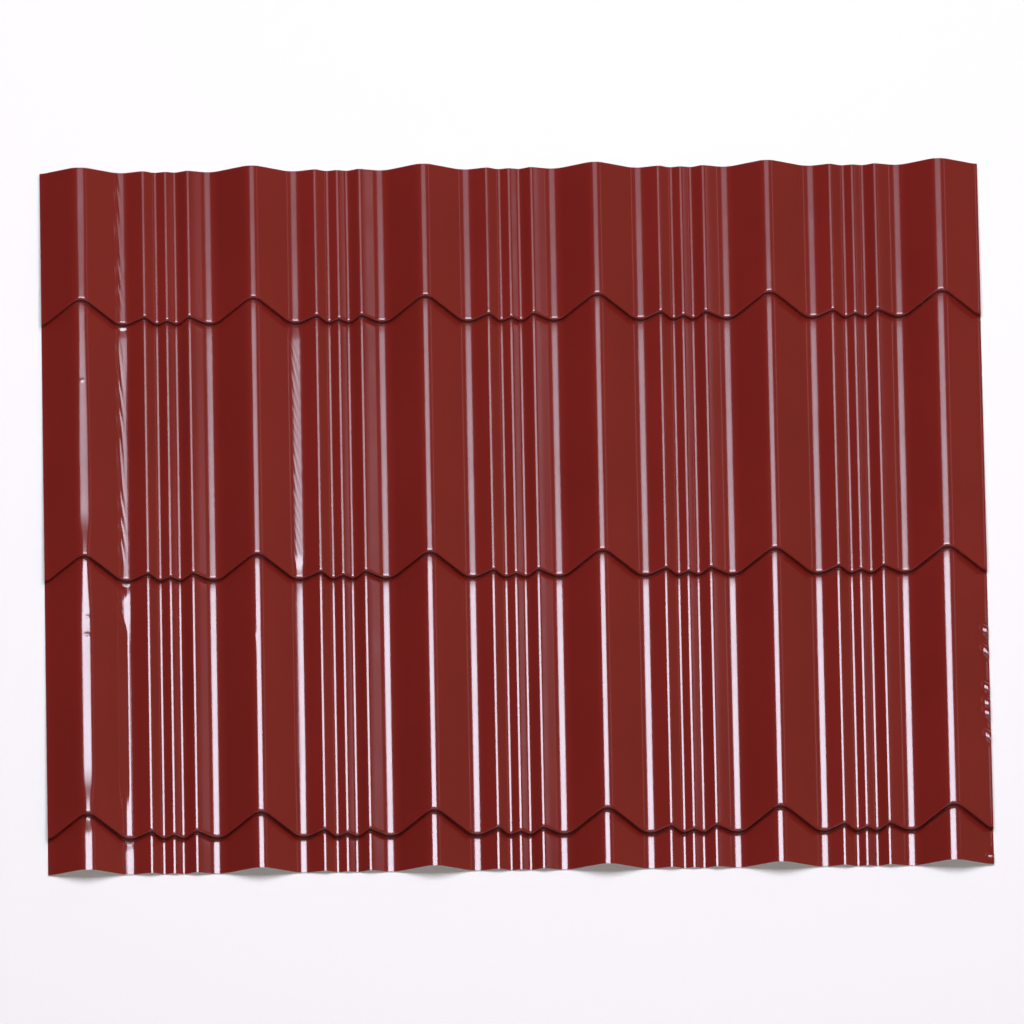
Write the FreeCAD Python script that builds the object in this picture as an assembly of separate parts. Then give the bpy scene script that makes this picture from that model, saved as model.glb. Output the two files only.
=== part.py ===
import FreeCAD, Part
import math
import os
from FreeCAD import Vector

# Sizes in mm. X runs across the sheet, Y up the roof and Z out of the roof.

# Wave across the sheet. The section keeps its proportions when the pitch changes.
WAVE_PITCH = 210.0
WAVE_COUNT = 5
WAVE_HEIGHT = 25.0
SIDE_OVERHANG = 48.0
CREST_RADIUS = WAVE_PITCH * 0.095
TROUGH_RADIUS = WAVE_PITCH * 0.121
TROUGH_FROM_CREST = WAVE_PITCH * 0.25
RIB_HEIGHT = 6.9
RIB_RADIUS = WAVE_PITCH * 0.033
RIB_FROM_CREST = WAVE_PITCH * 0.369
VALLEY_RADIUS = WAVE_PITCH * 0.048
VALLEY_FROM_CREST = WAVE_PITCH * 0.444
MIDDLE_RIB_HEIGHT = 3.2
MIDDLE_RIB_RADIUS = RIB_RADIUS

# Steps along the sheet, pressed in a plane that leans up the roof
STEP_COUNT = 3
STEP_SPACING = 325.0
STEP_HEIGHT = 11.0
PRESS_LEAN = 1.0
BOTTOM_STUB = 43.0
TOP_PART_ROW = 195.0

SHEET_THICKNESS = 0.5

ROW_SLOPE = STEP_HEIGHT / STEP_SPACING
SHEET_LENGTH = BOTTOM_STUB + (STEP_COUNT - 1) * STEP_SPACING + TOP_PART_ROW
HALF_WIDTH = WAVE_COUNT * WAVE_PITCH / 2 + SIDE_OVERHANG

HUMP = 1
HOLLOW = -1


def bends_across():
    """Every bend from the left edge to the right: its centre line, top or bottom, radius and kind."""
    bends = []
    for number in range(WAVE_COUNT + 1):
        crest = (number - WAVE_COUNT / 2) * WAVE_PITCH
        bends.append((crest, WAVE_HEIGHT, CREST_RADIUS, HUMP))
        for side in (-1, 1):
            bends.append((crest + side * TROUGH_FROM_CREST, 0.0, TROUGH_RADIUS, HOLLOW))
            if abs(crest + side * WAVE_PITCH / 2) < HALF_WIDTH:
                bends.append((crest + side * RIB_FROM_CREST, RIB_HEIGHT, RIB_RADIUS, HUMP))
                bends.append((crest + side * VALLEY_FROM_CREST, 0.0, VALLEY_RADIUS, HOLLOW))
    for number in range(WAVE_COUNT):
        middle = (number + 0.5 - WAVE_COUNT / 2) * WAVE_PITCH
        bends.append((middle, MIDDLE_RIB_HEIGHT, MIDDLE_RIB_RADIUS, HUMP))
    return sorted(bends)


def flank_angle(bend, following):
    """The slope angle of the straight flank that touches a hump and the hollow beside it."""
    centre, height, radius, kind = bend
    next_centre, next_height, next_radius, next_kind = following
    across = next_centre - centre
    rise = (next_height - next_kind * next_radius) - (height - kind * radius)
    turn = math.asin((radius + next_radius) / math.hypot(across, rise))
    return math.atan2(rise, across) - kind * turn


def wave_stretches():
    """Round and straight stretches of the wave from edge to edge: left end, right end, bend or None."""
    bends = bends_across()
    angles = [flank_angle(bend, following) for bend, following in zip(bends, bends[1:])]
    stretches = []
    reached = -math.inf
    for bend, before, after in zip(bends, [0.0] + angles, angles + [0.0]):
        centre, height, radius, kind = bend
        left = centre - kind * radius * math.sin(before)
        right = centre - kind * radius * math.sin(after)
        stretches.append((reached, left, None))
        stretches.append((left, right, bend))
        reached = right
    stretches.append((reached, math.inf, None))
    clipped = []
    for left, right, bend in stretches:
        left = max(left, -HALF_WIDTH)
        right = min(right, HALF_WIDTH)
        if left < right:
            clipped.append((left, right, bend))
    return clipped


STRETCHES = wave_stretches()


def wave_at(x):
    """Height and slope of the wave at a place across the sheet, which runs on straight between bends."""
    rounds = [stretch for stretch in STRETCHES if stretch[2]]
    left, right, bend = min(rounds, key=lambda stretch: max(stretch[0] - x, x - stretch[1]))
    centre, height, radius, kind = bend
    touch = min(max(x, left), right)
    depth = math.sqrt(radius**2 - (touch - centre) ** 2)
    slope = -kind * (touch - centre) / depth
    return height - kind * (radius - depth) + slope * (x - touch), slope


def fold_lines():
    """The foot and the nose of each step where they cross a trough, from the bottom: place, height."""
    lines = []
    for number in range(STEP_COUNT):
        riser = BOTTOM_STUB + number * STEP_SPACING
        lines.append((riser, 0.0))
        lines.append((riser, STEP_HEIGHT))
    return lines


def section_ring():
    """The outline of the sheet's section up the roof: each line's place, height, depth and cut end."""
    folds = fold_lines()
    bottom = folds[0]
    top = folds[-1]
    ring = [(*bottom, 0.0, 0.0)]
    ring += [(*fold, 0.0, None) for fold in folds]
    ring += [(*top, 0.0, SHEET_LENGTH), (*top, SHEET_THICKNESS, SHEET_LENGTH)]
    ring += [(*fold, SHEET_THICKNESS, None) for fold in reversed(folds)]
    ring += [(*bottom, SHEET_THICKNESS, 0.0)]
    return ring


def sheet_point(x, line):
    """The point where a line of the section ring crosses a place across the sheet."""
    place, height, depth, cut_end = line
    wave, slope = wave_at(x)
    inward = depth * math.hypot(1, slope)
    y = place + PRESS_LEAN * wave + inward
    z = height + wave - inward
    if cut_end is None:
        return Vector(x, y, z)
    return Vector(x, cut_end, z + ROW_SLOPE * (y - cut_end))


def sheet_tangent(x, line):
    """The direction of a line of the section ring at a place across the sheet."""
    slope = wave_at(x)[1]
    if line[3] is None:
        return Vector(1, PRESS_LEAN * slope, slope)
    return Vector(1, 0, slope * (1 + ROW_SLOPE * PRESS_LEAN))


def bend_edge(left, right, line):
    """The round edge along one bend of the wave, on one line of the section ring."""
    curve = Part.BSplineCurve()
    curve.interpolate(
        Points=[sheet_point(x, line) for x in (left, (left + right) / 2, right)],
        InitialTangent=sheet_tangent(left, line),
        FinalTangent=sheet_tangent(right, line),
    )
    return curve.toShape()


def strip(stretch, line, following):
    """The face between two lines of the section ring along one stretch, flat where the wave is straight."""
    left, right, bend = stretch
    if bend:
        return Part.makeRuledSurface(bend_edge(left, right, line), bend_edge(left, right, following))
    corners = [sheet_point(left, line), sheet_point(right, line)]
    corners += [sheet_point(right, following), sheet_point(left, following)]
    return Part.Face(Part.makePolygon(corners + corners[:1]))


def side_face(x, ring):
    """The cut side of the sheet, as thick as the steel and stepped like the rows."""
    points = [sheet_point(x, line) for line in ring]
    return Part.Face(Part.makePolygon(points + points[:1]))


def roofing_sheet():
    """The pressed sheet: strips between the lines of its section ring, sewn with its two sides."""
    ring = section_ring()
    faces = [side_face(-HALF_WIDTH, ring), side_face(HALF_WIDTH, ring)]
    for stretch in STRETCHES:
        for line, following in zip(ring, ring[1:] + ring[:1]):
            faces.append(strip(stretch, line, following))
    shell = Part.makeShell(faces)
    shell.sewShape()
    sheet = Part.makeSolid(shell)
    sheet.translate(Vector(0, -SHEET_LENGTH / 2, SHEET_THICKNESS))
    return sheet


os.makedirs("parts", exist_ok=True)
sheet = roofing_sheet()
sheet.exportStep("parts/roofing_sheet.step")
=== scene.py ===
import math

import bmesh
import bpy
from mathutils import Matrix, Vector


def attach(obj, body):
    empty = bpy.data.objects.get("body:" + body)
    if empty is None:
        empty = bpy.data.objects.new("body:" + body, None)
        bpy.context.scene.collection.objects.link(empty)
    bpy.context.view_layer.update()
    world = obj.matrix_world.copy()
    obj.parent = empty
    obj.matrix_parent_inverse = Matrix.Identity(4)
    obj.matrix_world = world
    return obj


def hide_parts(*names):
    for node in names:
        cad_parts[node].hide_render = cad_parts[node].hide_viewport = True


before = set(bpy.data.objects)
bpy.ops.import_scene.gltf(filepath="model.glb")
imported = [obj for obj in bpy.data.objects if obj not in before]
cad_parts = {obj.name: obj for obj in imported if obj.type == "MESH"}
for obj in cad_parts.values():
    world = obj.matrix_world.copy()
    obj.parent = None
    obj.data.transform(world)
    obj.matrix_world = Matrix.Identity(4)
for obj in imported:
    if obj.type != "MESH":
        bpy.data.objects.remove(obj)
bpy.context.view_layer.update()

MM = 0.001

# The sheet's sizes in mm, as in the part's source
WAVE_PITCH = 210.0
WAVE_COUNT = 5
WAVE_HEIGHT = 25.0
SIDE_OVERHANG = 48.0
CREST_RADIUS = WAVE_PITCH * 0.095
TROUGH_RADIUS = WAVE_PITCH * 0.121
TROUGH_FROM_CREST = WAVE_PITCH * 0.25
RIB_HEIGHT = 6.9
RIB_RADIUS = WAVE_PITCH * 0.033
RIB_FROM_CREST = WAVE_PITCH * 0.369
VALLEY_RADIUS = WAVE_PITCH * 0.048
VALLEY_FROM_CREST = WAVE_PITCH * 0.444
MIDDLE_RIB_HEIGHT = 3.2
MIDDLE_RIB_RADIUS = RIB_RADIUS
STEP_COUNT = 3
STEP_SPACING = 325.0
STEP_HEIGHT = 11.0
BOTTOM_STUB = 43.0
TOP_PART_ROW = 195.0
SHEET_THICKNESS = 0.5
ROW_SLOPE = STEP_HEIGHT / STEP_SPACING
SHEET_LENGTH = BOTTOM_STUB + (STEP_COUNT - 1) * STEP_SPACING + TOP_PART_ROW
HALF_WIDTH = WAVE_COUNT * WAVE_PITCH / 2 + SIDE_OVERHANG
HUMP = 1
HOLLOW = -1

# The fold radii that the solid leaves out, and how finely the sheet is divided
FOOT_RADIUS = 1.3
NOSE_RADIUS = 2.4
FOLD_PARTS = 6
FOLD_MARGIN = 2.0
DIP_MARGINS = (12.0, 8.0, 5.0, 2.0)
ROW_PART = 20.0
BEND_PART = math.radians(6.0)
FLANK_PART = 9.0
FLANK_MARGIN = 0.5

# How far the steel of a full row hangs below a straight line between its two folds, and how far it
# swells again before it dips to a foot
ROW_SAG = 0.8
DIP_DEPTH = 0.2
DIP_RUN = 12.0


def bends_across():
    """Every bend of the wave from the left: its centre line, top or bottom, radius and kind."""
    bends = []
    for number in range(WAVE_COUNT + 1):
        crest = (number - WAVE_COUNT / 2) * WAVE_PITCH
        bends.append((crest, WAVE_HEIGHT, CREST_RADIUS, HUMP))
        for side in (-1, 1):
            bends.append((crest + side * TROUGH_FROM_CREST, 0.0, TROUGH_RADIUS, HOLLOW))
            if abs(crest + side * WAVE_PITCH / 2) < HALF_WIDTH:
                bends.append((crest + side * RIB_FROM_CREST, RIB_HEIGHT, RIB_RADIUS, HUMP))
                bends.append((crest + side * VALLEY_FROM_CREST, 0.0, VALLEY_RADIUS, HOLLOW))
    for number in range(WAVE_COUNT):
        middle = (number + 0.5 - WAVE_COUNT / 2) * WAVE_PITCH
        bends.append((middle, MIDDLE_RIB_HEIGHT, MIDDLE_RIB_RADIUS, HUMP))
    return sorted(bends)


def flank_angle(bend, following):
    """The slope angle of the straight flank between a hump and the hollow beside it."""
    centre, height, radius, kind = bend
    next_centre, next_height, next_radius, next_kind = following
    across = next_centre - centre
    rise = (next_height - next_kind * next_radius) - (height - kind * radius)
    turn = math.asin((radius + next_radius) / math.hypot(across, rise))
    return math.atan2(rise, across) - kind * turn


def wave_columns():
    """Place, height and slope of the wave at each column of the mesh, closer round the bends."""
    bends = bends_across()
    angles = [flank_angle(bend, following) for bend, following in zip(bends, bends[1:])]
    columns = []
    for bend, before, after in zip(bends, [0.0] + angles, angles + [0.0]):
        centre, height, radius, kind = bend
        parts = max(4, round(abs(after - before) / BEND_PART))
        for number in range(parts + 1):
            angle = before + (after - before) * number / parts
            x = centre - kind * radius * math.sin(angle)
            z = height - kind * radius * (1 - math.cos(angle))
            columns.append((x, z, math.tan(angle)))
    filled = []
    for column, following in zip(columns, columns[1:]):
        filled.append(column)
        gap = following[0] - column[0]
        if abs(following[2] - column[2]) < 1e-9 and gap > 4 * FLANK_MARGIN:
            parts = math.ceil(gap / FLANK_PART)
            inside = [gap * number / parts for number in range(1, parts)]
            for shift in [FLANK_MARGIN] + inside + [gap - FLANK_MARGIN]:
                filled.append((column[0] + shift, column[1] + column[2] * shift, column[2]))
    filled.append(columns[-1])
    return clip(filled)


def clip(columns):
    """The columns between the sheet's two side edges, with one exactly on each edge."""
    inside = [column for column in columns if abs(column[0]) < HALF_WIDTH - 0.5]
    first = columns.index(inside[0])
    left = (-HALF_WIDTH, *edge_of(columns[first - 1], inside[0], -HALF_WIDTH))
    right = (HALF_WIDTH, *edge_of(inside[-1], columns[first + len(inside)], HALF_WIDTH))
    return [left] + inside + [right]


def edge_of(column, following, x):
    """Height and slope between two columns of the wave."""
    share = (x - column[0]) / (following[0] - column[0])
    height = column[1] + share * (following[1] - column[1])
    return height, column[2] + share * (following[2] - column[2])


def turned(direction, angle):
    """A direction in the section up the roof, turned by an angle."""
    y, z = direction
    return y * math.cos(angle) - z * math.sin(angle), y * math.sin(angle) + z * math.cos(angle)


def fold(corner, before, after, radius, left):
    """Stations round one fold: place, height and the direction of the back face."""
    swing = math.acos(before[0] * after[0] + before[1] * after[1])
    reach = radius * math.tan(swing / 2)
    side = 1 if left else -1
    start = (corner[0] - before[0] * reach, corner[1] - before[1] * reach)
    inner = turned(before, side * math.pi / 2)
    centre = (start[0] + inner[0] * radius, start[1] + inner[1] * radius)
    stations = []
    for number in range(FOLD_PARTS + 1):
        heading = turned(before, side * swing * number / FOLD_PARTS)
        out = turned(heading, -side * math.pi / 2)
        back = turned(heading, -math.pi / 2)
        stations.append((centre[0] + out[0] * radius, centre[1] + out[1] * radius, *back))
    return stations


def swell(distance, share):
    """How far a row swells at a distance before its foot and a share of the way to it."""
    return DIP_DEPTH * share * (1 - max(0.0, 1 - distance / DIP_RUN) ** 2)


def stations_up():
    """Stations from the first foot to the last nose, where they cross a trough."""
    along = (1 / math.hypot(1, ROW_SLOPE), -ROW_SLOPE / math.hypot(1, ROW_SLOPE))
    upright = (0.0, 1.0)
    stations = []
    for number in range(STEP_COUNT):
        riser = BOTTOM_STUB + number * STEP_SPACING
        foot = fold((riser, 0.0), along, upright, FOOT_RADIUS, True)
        nose = fold((riser, STEP_HEIGHT), upright, along, NOSE_RADIUS, False)
        if stations:
            last = stations[-1]
            length = foot[0][0] - last[0]
            parts = round(length / ROW_PART)
            shares = [FOLD_MARGIN / length] + [part / parts for part in range(1, parts)]
            for share in shares + [1 - margin / length for margin in DIP_MARGINS]:
                blend = (a + share * (b - a) for a, b in zip(last, foot[0]))
                place, height, back_y, back_z = blend
                height += swell(foot[0][0] - place, share) - 4 * ROW_SAG * share * (1 - share)
                stations.append((place, height, back_y, back_z))
        stations += foot
        middle = tuple((a + b) / 2 for a, b in zip(foot[-1], nose[0]))
        stations.append(middle)
        stations += nose
    return stations


STATIONS = stations_up()
STUB_PARTS = round((BOTTOM_STUB - DIP_RUN) / 10)
TOP_PARTS = round(TOP_PART_ROW / ROW_PART)


def line_up(column, back):
    """The points of one column of the mesh from the bottom edge to the top edge, on one face."""
    x, wave, slope = column
    inward = SHEET_THICKNESS * math.hypot(1, slope) if back else 0.0
    points = []
    for place, height, back_y, back_z in STATIONS:
        points.append((place + wave + inward * back_y, height + wave + inward * back_z))
    first_y, first_z = points[0]
    last_y, last_z = points[-1]
    lower = []
    places = [(first_y - DIP_RUN) * part / STUB_PARTS for part in range(STUB_PARTS)]
    for y in places + [first_y - margin for margin in DIP_MARGINS]:
        lower.append((y, first_z + ROW_SLOPE * (first_y - y) + swell(first_y - y, y / first_y)))
    upper = []
    top_row = SHEET_LENGTH - last_y
    places = [last_y + top_row * part / TOP_PARTS for part in range(1, TOP_PARTS + 1)]
    for y in [last_y + FOLD_MARGIN] + places:
        upper.append((y, last_z - ROW_SLOPE * (y - last_y)))
    line = lower + points + upper
    return [Vector((x, y - SHEET_LENGTH / 2, z + SHEET_THICKNESS)) for y, z in line]


def bump(distance, width):
    """A smooth hump of height one that fades to nothing beyond its width."""
    share = abs(distance) / width
    return 0.0 if share >= 1 else (1 - share * share) ** 2


def ease(share):
    """A smooth rise from nought to one."""
    share = min(max(share, 0.0), 1.0)
    return share * share * (3 - 2 * share)


def between(y, low, high, fade):
    """One between two places up the roof, fading to nought outside them."""
    return ease((y - low) / fade + 1) * ease((high - y) / fade + 1)


LEFT_CREST = -WAVE_COUNT * WAVE_PITCH / 2
LEFT_TROUGH = LEFT_CREST + TROUGH_FROM_CREST
SECOND_CREST = LEFT_CREST + WAVE_PITCH
SECOND_TROUGH = LEFT_TROUGH + WAVE_PITCH
LOW_STEP = BOTTOM_STUB - SHEET_LENGTH / 2
MIDDLE_STEP = LOW_STEP + STEP_SPACING
TOP_STEP = MIDDLE_STEP + STEP_SPACING
STEPS = (LOW_STEP, MIDDLE_STEP, TOP_STEP)

# Round dents: place across, place up the sheet, height and radius
DOTS = ((LEFT_CREST + 0.7, 174.0, 0.22, 3.0), (SECOND_CREST - 4, -150.5, 0.22, 3.6))
# Notches across the left crest: right of its line, up the sheet, height, reach up and reach across
NOTCHES = ((3.5, -125.5, 0.16, 3.4, 4), (3, -148.0, 0.24, 3.6, 5))
# The dents along the right edge: places up the sheet, reach in from the edge and height, and the
# height of the bent corner
CRINKLES = (-152, -178, -225, -244, -257, -286)
CRINKLE_REACH = 15
CRINKLE_HEIGHT = 4.3
CORNER_HEIGHT = 4.6


def wrinkles(x, y):
    """Slanting wrinkles down the first two troughs, where the sheet was pressed."""
    move = 0.0
    side = bump(x - LEFT_TROUGH + 6.5, 9)
    if side and y > MIDDLE_STEP + 10:
        rows = between(y, MIDDLE_STEP + 30, TOP_STEP - 35, 20)
        rows += 0.7 * between(y, TOP_STEP + 30, 440, 20)
        waver = 0.25 * math.sin(y / 23) + 0.2 * math.sin(y / 57 + 1)
        turns = y / 42 + (x - LEFT_TROUGH) / 5.4 + waver
        move += 0.13 * side * rows * math.sin(turns * 2 * math.pi)
    side = bump(x - SECOND_TROUGH + 2, 9)
    if side and MIDDLE_STEP < y < TOP_STEP:
        rows = between(y, MIDDLE_STEP + 35, TOP_STEP - 40, 30)
        turns = y / 18 + (x - SECOND_TROUGH) / 5 + 0.3 * math.sin(y / 19)
        move += 0.075 * side * rows * math.sin(turns * 2 * math.pi)
    return move


def crest_press(y):
    """How flat the crest on the left edge is pressed, from nought to one, down each row."""
    low, middle, top = (step + WAVE_HEIGHT for step in STEPS)
    if y > top:
        return 0.35 + 0.25 * ease((y - top) / 100)
    if y > middle:
        return (0.35 + 0.65 * ease((top - y) / 200)) * ease((y - middle) / 55)
    if y > low:
        return ease((middle - y) / 90) * ease((y - low) / 60)
    return 0.7 * ease((low - y) / 25)


def flattened(x, y):
    """The outer crests and a part of the second trough, pressed flatter than the others."""
    move = 0.0
    side = bump(x - LEFT_CREST, 13)
    if side:
        move -= 1.35 * side * crest_press(y)
        for step in (LOW_STEP, MIDDLE_STEP):
            move += 0.4 * bump(x - LEFT_CREST - 2, 11) * between(y, step + 25, step + 42, 22)
    upper = between(y, MIDDLE_STEP + 30, TOP_STEP - 20, 20)
    move += 0.6 * upper * bump(x - SECOND_TROUGH + 2, 12)
    move -= 0.6 * bump(x + LEFT_CREST, 13)
    return move


def ribs(x):
    """The small ribs' crowns, a little flatter than their bends, and valleys, a little sharper."""
    side = (x - LEFT_CREST) % WAVE_PITCH
    side = min(side, WAVE_PITCH - side)
    valley = side - VALLEY_FROM_CREST
    crowns = bump(side - RIB_FROM_CREST, 4) + bump(side - WAVE_PITCH / 2, 4)
    return 0.18 * (bump(valley, 8) - bump(valley, 4)) - 0.14 * crowns


def trough_depth(side):
    """The height of the round trough above its lowest line."""
    return TROUGH_RADIUS - math.sqrt(TROUGH_RADIUS**2 - side**2)


def flat_side(side, left, right):
    """How far the round trough rises where it is pressed flat between two places."""
    if not left < side < right:
        return 0.0
    low, high = trough_depth(right), trough_depth(left)
    return low + (high - low) * (right - side) / (right - left) - trough_depth(side)


def facet(x, y):
    """The left sides of the first two troughs, pressed flat, the first below a slanting crease."""
    if not LOW_STEP + 25 < y < MIDDLE_STEP:
        return 0.0
    second = flat_side(x - SECOND_TROUGH, -8.0, 0.0)
    second *= between(y, LOW_STEP + 70, MIDDLE_STEP - 22, 18)
    first = flat_side(x - LEFT_TROUGH, -13.0, -0.3)
    start = Vector((LEFT_TROUGH - 13, MIDDLE_STEP - 20))
    end = Vector((LEFT_TROUGH + 0.5, MIDDLE_STEP - 64))
    along = (end - start).normalized()
    beyond = along.y * (x - start.x) - along.x * (y - start.y)
    under_step = ease((y - MIDDLE_STEP + 26) / 16) * ease((MIDDLE_STEP - 4 - y) / 6)
    share = max(ease(beyond / 2.5), under_step)
    return second + first * share * ease((y - LOW_STEP - 25) / 45)


def dings(x, y):
    """Small knocks on the two left crests and the marks that the press left below each step."""
    move = 0.0
    for across, up, height, radius in DOTS:
        move += height * bump(math.hypot(x - across, y - up), radius)
    for right, up, height, reach_up, reach_across in NOTCHES:
        move += height * bump(y - up, reach_up) * bump(x - LEFT_CREST - right, reach_across)
    for step in STEPS:
        below = step - y
        side = bump(x - LEFT_TROUGH + 2, 9.5)
        if side and -1 < below < 90:
            mark = 0.36 * ease((6 - below) / 5)
            mark += 0.3 * ease((below - 4) / 12) * ease((90 - below) / 70)
            move += side * mark
        crest_below = step + WAVE_HEIGHT - y
        move += 0.5 * bump(math.hypot(x - LEFT_CREST - 10.5, crest_below - 7.5), 3.8)
    return move


def crinkles(x, y):
    """The knocked right edge between the two lower steps, and at its bottom corner."""
    side = HALF_WIDTH - x
    if side > CRINKLE_REACH:
        return 0.0
    edge = ease((CRINKLE_REACH - side) / CRINKLE_REACH)
    dents = max(ease(1.5 * bump(y - 0.5 * side - place, 10)) for place in CRINKLES)
    corner = bump(y - LOW_STEP + 34, 15)
    return edge * (CRINKLE_HEIGHT * dents + CORNER_HEIGHT * corner)


def knocks(x, y):
    """How far the steel is moved up or down from its rolled shape, in mm."""
    move = ribs(x) + flattened(x, y)
    if x > HALF_WIDTH - 30:
        return move + crinkles(x, y)
    if x > SECOND_TROUGH + 20:
        return move
    return move + wrinkles(x, y) + facet(x, y) + dings(x, y)


def zone_of(x, y):
    """How many cuts the mesh needs up the roof and across it to show the knocks at a place."""
    if abs(x - LEFT_TROUGH + 3) < 14:
        return 4, 3
    if abs(x - LEFT_CREST) < 15:
        return 4, 1
    if abs(x - SECOND_TROUGH + 4) < 12 and MIDDLE_STEP < y < TOP_STEP:
        return 4, 2
    if x > HALF_WIDTH - 17 and LOW_STEP + 20 < y < MIDDLE_STEP - 40:
        return 7, 5
    if x > HALF_WIDTH - 17 and y < LOW_STEP:
        return 3, 5
    if abs(x - SECOND_CREST) < 10 and abs(y + 150) < 12:
        return 6, 2
    return 0, 0


def refine(mesh):
    """Divide the cells where the sheet is knocked, so the dents come out smooth."""
    for way in (0, 1):
        chosen = {}
        for edge in mesh.edges:
            start, end = (vert.co for vert in edge.verts)
            x = (start.x + end.x) / 2
            y = (start.y + end.y) / 2
            across = abs(start.x - end.x) > 0.01
            if across == (way == 0) or (way == 0 and abs(start.y - end.y) < 6):
                continue
            cuts = zone_of(x, y)[way]
            if cuts and (start - end).length > 1.2:
                chosen.setdefault(cuts, []).append(edge)
        for cuts, edges in chosen.items():
            bmesh.ops.subdivide_edges(mesh, edges=edges, cuts=cuts, use_grid_fill=True)
    fine = []
    for edge in mesh.edges:
        start, end = (vert.co for vert in edge.verts)
        x = (start.x + end.x) / 2
        y = (start.y + end.y) / 2
        on_crest = abs(x - LEFT_CREST) < 16
        if abs(start.x - end.x) > 0.01 or abs(start.y - end.y) < 2.5:
            continue
        raised = WAVE_HEIGHT if on_crest else 0
        near_step = any(-1 < step + raised - y < 18 for step in STEPS)
        near_ding = on_crest and any(abs(y - place) < 8 for place in (-148, -125, 174))
        near_ding = near_ding or -146 < y < -92
        if (on_crest or abs(x - LEFT_TROUGH + 3) < 14) and (near_step or near_ding):
            fine.append(edge)
    bmesh.ops.subdivide_edges(mesh, edges=fine, cuts=3, use_grid_fill=True)


def sheet_mesh():
    """The pressed sheet as one closed mesh: front, back and cut edges."""
    mesh = bmesh.new()
    columns = wave_columns()
    front = [[mesh.verts.new(point) for point in line_up(column, False)] for column in columns]
    back = [[mesh.verts.new(point) for point in line_up(column, True)] for column in columns]
    for number in range(len(columns) - 1):
        left, right = front[number], front[number + 1]
        under_left, under_right = back[number], back[number + 1]
        for row in range(len(left) - 1):
            mesh.faces.new((left[row], right[row], right[row + 1], left[row + 1]))
            corners = (under_left[row + 1], under_right[row + 1], under_right[row], under_left[row])
            face = mesh.faces.new(corners)
            face.material_index = 1
        for row in (0, -1):
            face = mesh.faces.new((left[row], under_left[row], under_right[row], right[row]))
            face.material_index = 2
    for number in (0, -1):
        top, under = front[number], back[number]
        for row in range(len(top) - 1):
            face = mesh.faces.new((top[row], top[row + 1], under[row + 1], under[row]))
            face.material_index = 2
    refine(mesh)
    for vert in mesh.verts:
        vert.co.z += knocks(vert.co.x, vert.co.y)
    for face in mesh.faces:
        face.smooth = face.material_index != 2
    bmesh.ops.recalc_face_normals(mesh, faces=mesh.faces)
    bmesh.ops.scale(mesh, vec=(MM, MM, MM), verts=mesh.verts)
    return mesh


def new_material(name):
    """A node material and its shader."""
    material = bpy.data.materials.new(name)
    material.use_nodes = True
    return material, material.node_tree.nodes, material.node_tree.links


def noise(nodes, links, scale, detail=2.0):
    """Noise in the piece's own coordinates."""
    place = nodes.new("ShaderNodeTexCoord")
    texture = nodes.new("ShaderNodeTexNoise")
    texture.inputs["Scale"].default_value = scale
    texture.inputs["Detail"].default_value = detail
    links.new(place.outputs["Object"], texture.inputs["Vector"])
    return texture.outputs["Fac"]


def tones(nodes, links, amount, dark, light, ends=(0.3, 0.7)):
    """A colour that an amount moves from a dark tone to a light one."""
    ramp = nodes.new("ShaderNodeValToRGB")
    for element, place, tone in zip(ramp.color_ramp.elements, ends, (dark, light)):
        element.position = place
        element.color = (*tone, 1)
    links.new(amount, ramp.inputs["Fac"])
    return ramp.outputs["Color"]


def spread(nodes, links, amount, low, high, ends=(0.0, 1.0)):
    """A value that an amount moves from a low limit to a high one."""
    span = nodes.new("ShaderNodeMapRange")
    span.inputs["From Min"].default_value, span.inputs["From Max"].default_value = ends
    span.inputs["To Min"].default_value = low
    span.inputs["To Max"].default_value = high
    links.new(amount, span.inputs["Value"])
    return span.outputs["Result"]


def paint():
    """Glossy brick red coil paint: faint drift in the colour, fine orange peel and light haze."""
    material, nodes, links = new_material("brick_red_paint")
    shader = nodes["Principled BSDF"]
    shader.inputs["IOR"].default_value = 1.6
    drift = noise(nodes, links, 6.0, 4.0)
    colour = tones(nodes, links, drift, (0.180, 0.0138, 0.0094), (0.202, 0.0160, 0.0110))
    links.new(colour, shader.inputs["Base Color"])
    haze = noise(nodes, links, 22.0, 3.0)
    links.new(spread(nodes, links, haze, 0.11, 0.15, (0.3, 0.7)), shader.inputs["Roughness"])
    relief = nodes.new("ShaderNodeBump")
    relief.inputs["Strength"].default_value = 0.04
    relief.inputs["Distance"].default_value = 0.0001
    links.new(noise(nodes, links, 900.0, 1.0), relief.inputs["Height"])
    links.new(relief.outputs["Normal"], shader.inputs["Normal"])
    return material


def backing_coat():
    """The thin pale grey coat on the back, dull and slightly uneven."""
    material, nodes, links = new_material("grey_backing_coat")
    shader = nodes["Principled BSDF"]
    drift = noise(nodes, links, 9.0, 5.0)
    colour = tones(nodes, links, drift, (0.330, 0.335, 0.335), (0.385, 0.390, 0.390))
    links.new(colour, shader.inputs["Base Color"])
    links.new(spread(nodes, links, drift, 0.42, 0.56), shader.inputs["Roughness"])
    return material


def cut_edge():
    """The sheared edge, where bare galvanised steel shows between the coats."""
    material, nodes, links = new_material("sheared_steel_edge")
    shader = nodes["Principled BSDF"]
    shader.inputs["Metallic"].default_value = 0.85
    grain = noise(nodes, links, 240.0)
    colour = tones(nodes, links, grain, (0.22, 0.20, 0.19), (0.46, 0.45, 0.44), (0.0, 1.0))
    links.new(colour, shader.inputs["Base Color"])
    links.new(spread(nodes, links, grain, 0.35, 0.6), shader.inputs["Roughness"])
    return material


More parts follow.
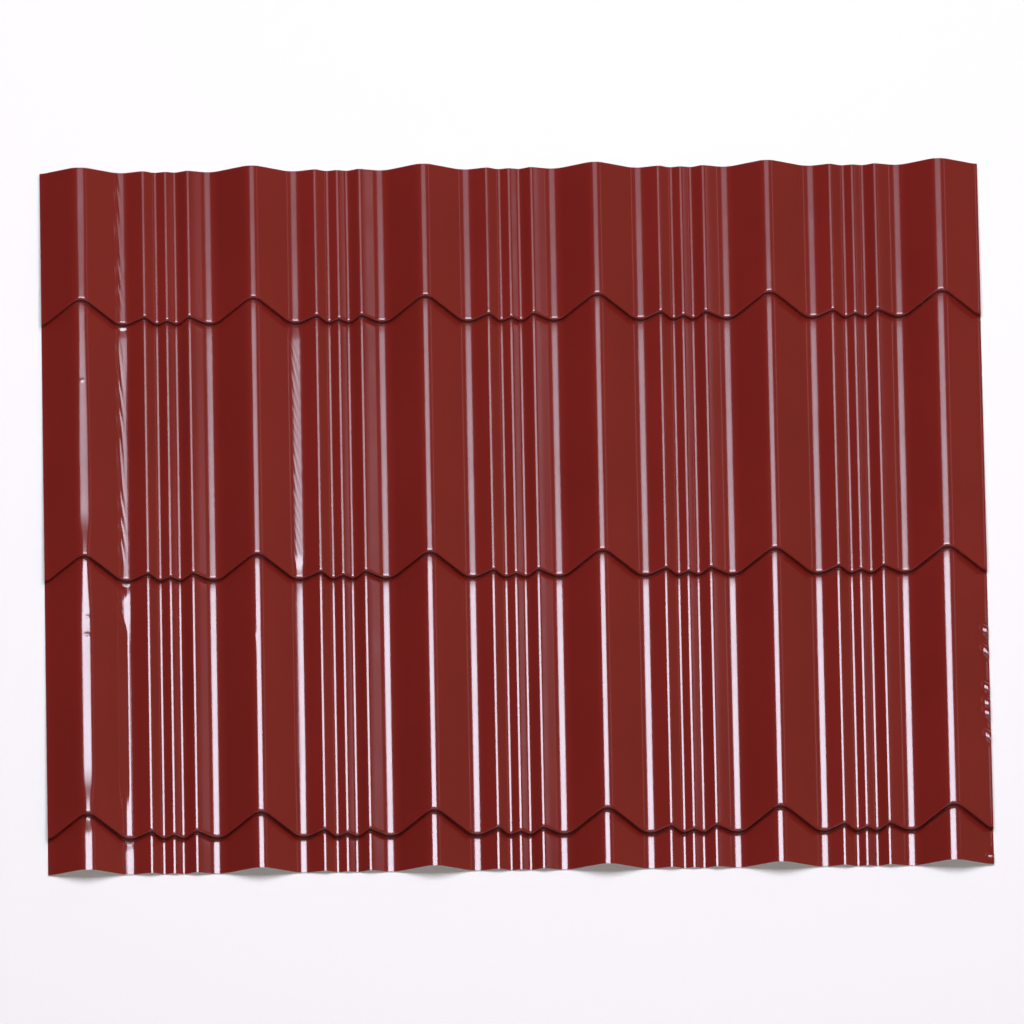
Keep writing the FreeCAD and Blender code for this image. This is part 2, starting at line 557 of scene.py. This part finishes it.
def roofing_sheet():
    """The dressed sheet, which stands for the solid of the same name."""
    mesh = sheet_mesh()
    data = bpy.data.meshes.new("pressed_sheet")
    mesh.to_mesh(data)
    mesh.free()
    for material in (paint(), backing_coat(), cut_edge()):
        data.materials.append(material)
    data.set_sharp_from_angle(angle=math.radians(50))
    sheet = bpy.data.objects.new("pressed_sheet", data)
    bpy.context.scene.collection.objects.link(sheet)
    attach(sheet, "root")
    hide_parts("roofing_sheet")


FLOOR_SIDE = 24.0
FLOOR_GLOW = 0.16


def floor():
    """A plain white floor that the sheet lies on, which glows a little to the eye and in gloss."""
    data = bpy.data.meshes.new("floor")
    half = FLOOR_SIDE / 2
    corners = [(-half, -half, 0), (half, -half, 0), (half, half, 0), (-half, half, 0)]
    data.from_pydata(corners, [], [(0, 1, 2, 3)])
    material, nodes, links = new_material("white_floor")
    shader = nodes["Principled BSDF"]
    shader.inputs["Base Color"].default_value = (0.84, 0.83, 0.78, 1)
    shader.inputs["Roughness"].default_value = 0.9
    seen = nodes.new("ShaderNodeLightPath")
    either = seen.outputs["Is Camera Ray"]
    for kind in ("Is Glossy Ray", "Is Transmission Ray"):
        larger = nodes.new("ShaderNodeMath")
        larger.operation = "MAXIMUM"
        links.new(either, larger.inputs[0])
        links.new(seen.outputs[kind], larger.inputs[1])
        either = larger.outputs["Value"]
    lift = nodes.new("ShaderNodeMath")
    lift.operation = "MULTIPLY"
    lift.inputs[1].default_value = FLOOR_GLOW
    links.new(either, lift.inputs[0])
    shader.inputs["Emission Color"].default_value = (1, 1, 1, 1)
    links.new(lift.outputs["Value"], shader.inputs["Emission Strength"])
    data.materials.append(material)
    plane = bpy.data.objects.new("floor", data)
    bpy.context.scene.collection.objects.link(plane)


LAMP_LEVEL = 5.0
COOL_WHITE = (0.84, 0.85, 1.0)


def lamp(name, ends, radiance, diffuse=True, gloss=True, side=0.13, width=2.7):
    """A level softbox overhead between two places up the roof, hidden from the camera."""
    data = bpy.data.lights.new(name, "AREA")
    data.shape = "RECTANGLE"
    data.size = width
    data.size_y = ends[1] - ends[0]
    data.energy = radiance * math.pi * data.size * data.size_y
    data.color = COOL_WHITE
    softbox = bpy.data.objects.new(name, data)
    softbox.location = (side, (ends[0] + ends[1]) / 2, LAMP_LEVEL)
    softbox.visible_camera = False
    softbox.visible_diffuse = diffuse
    softbox.visible_glossy = gloss
    bpy.context.scene.collection.objects.link(softbox)


def lights():
    """Softboxes that dim beyond the top of the sheet, some for the gloss alone, one hidden from it."""
    lamp("softbox", (1.0, 1.78), 16.5)
    lamp("softbox_near", (-0.15, 1.0), 16.5, gloss=False)
    lamp("softbox_edge", (0.75, 1.0), 40.0, diffuse=False)
    lamp("softbox_veil", (-0.15, 0.75), 3.0, diffuse=False)
    lamp("softbox_dim", (1.78, 2.10), 4.2)
    lamp("softbox_far", (2.10, 2.70), 1.4)
    lamp("strip_near", (-2.3, -0.15), 0.5, diffuse=False)
    lamp("strip", (-12.0, -2.3), 1.0, diffuse=False)
    lamp("side_panel", (1.7, 3.1), 1.9, side=4.25, width=0.34)


def room():
    """A dim room, warmer on the right, with a pale horizon."""
    world = bpy.data.worlds.new("room")
    bpy.context.scene.world = world
    world.use_nodes = True
    nodes, links = world.node_tree.nodes, world.node_tree.links
    place = nodes.new("ShaderNodeTexCoord")
    split = nodes.new("ShaderNodeSeparateXYZ")
    links.new(place.outputs["Generated"], split.inputs["Vector"])
    side = spread(nodes, links, split.outputs["X"], 0.0, 1.0, (-0.6, 1.0))
    walls = tones(nodes, links, side, (0.03, 0.03, 0.03), (0.30, 0.19, 0.13), (0.0, 1.0))
    pale = nodes.new("ShaderNodeMixRGB")
    pale.inputs["Color2"].default_value = (1, 1, 1, 1)
    horizon = spread(nodes, links, split.outputs["Z"], 0.0, 1.0, (0.12, 0.05))
    links.new(horizon, pale.inputs["Fac"])
    links.new(walls, pale.inputs["Color1"])
    links.new(pale.outputs["Color"], nodes["Background"].inputs["Color"])


def camera():
    """A long lens above the sheet, tipped towards its bottom edge, as the photo was taken."""
    data = bpy.data.cameras.new("camera")
    data.sensor_width = 36.0
    data.lens = 791.0
    data.clip_start = 1.0
    data.clip_end = 100.0
    view = bpy.data.objects.new("camera", data)
    right = Vector((0.999630, -0.017842, 0.020517))
    up = Vector((0.011341, 0.959419, 0.281755))
    behind = Vector((-0.024711, -0.281418, 0.959267))
    turn = Matrix((right, up, behind)).transposed().to_4x4()
    view.matrix_world = Matrix.Translation((-0.6798, -7.6962, 26.2627)) @ turn
    bpy.context.scene.collection.objects.link(view)
    bpy.context.scene.camera = view


roofing_sheet()
floor()
lights()
room()
camera()
bpy.context.scene.view_settings.view_transform = "Standard"
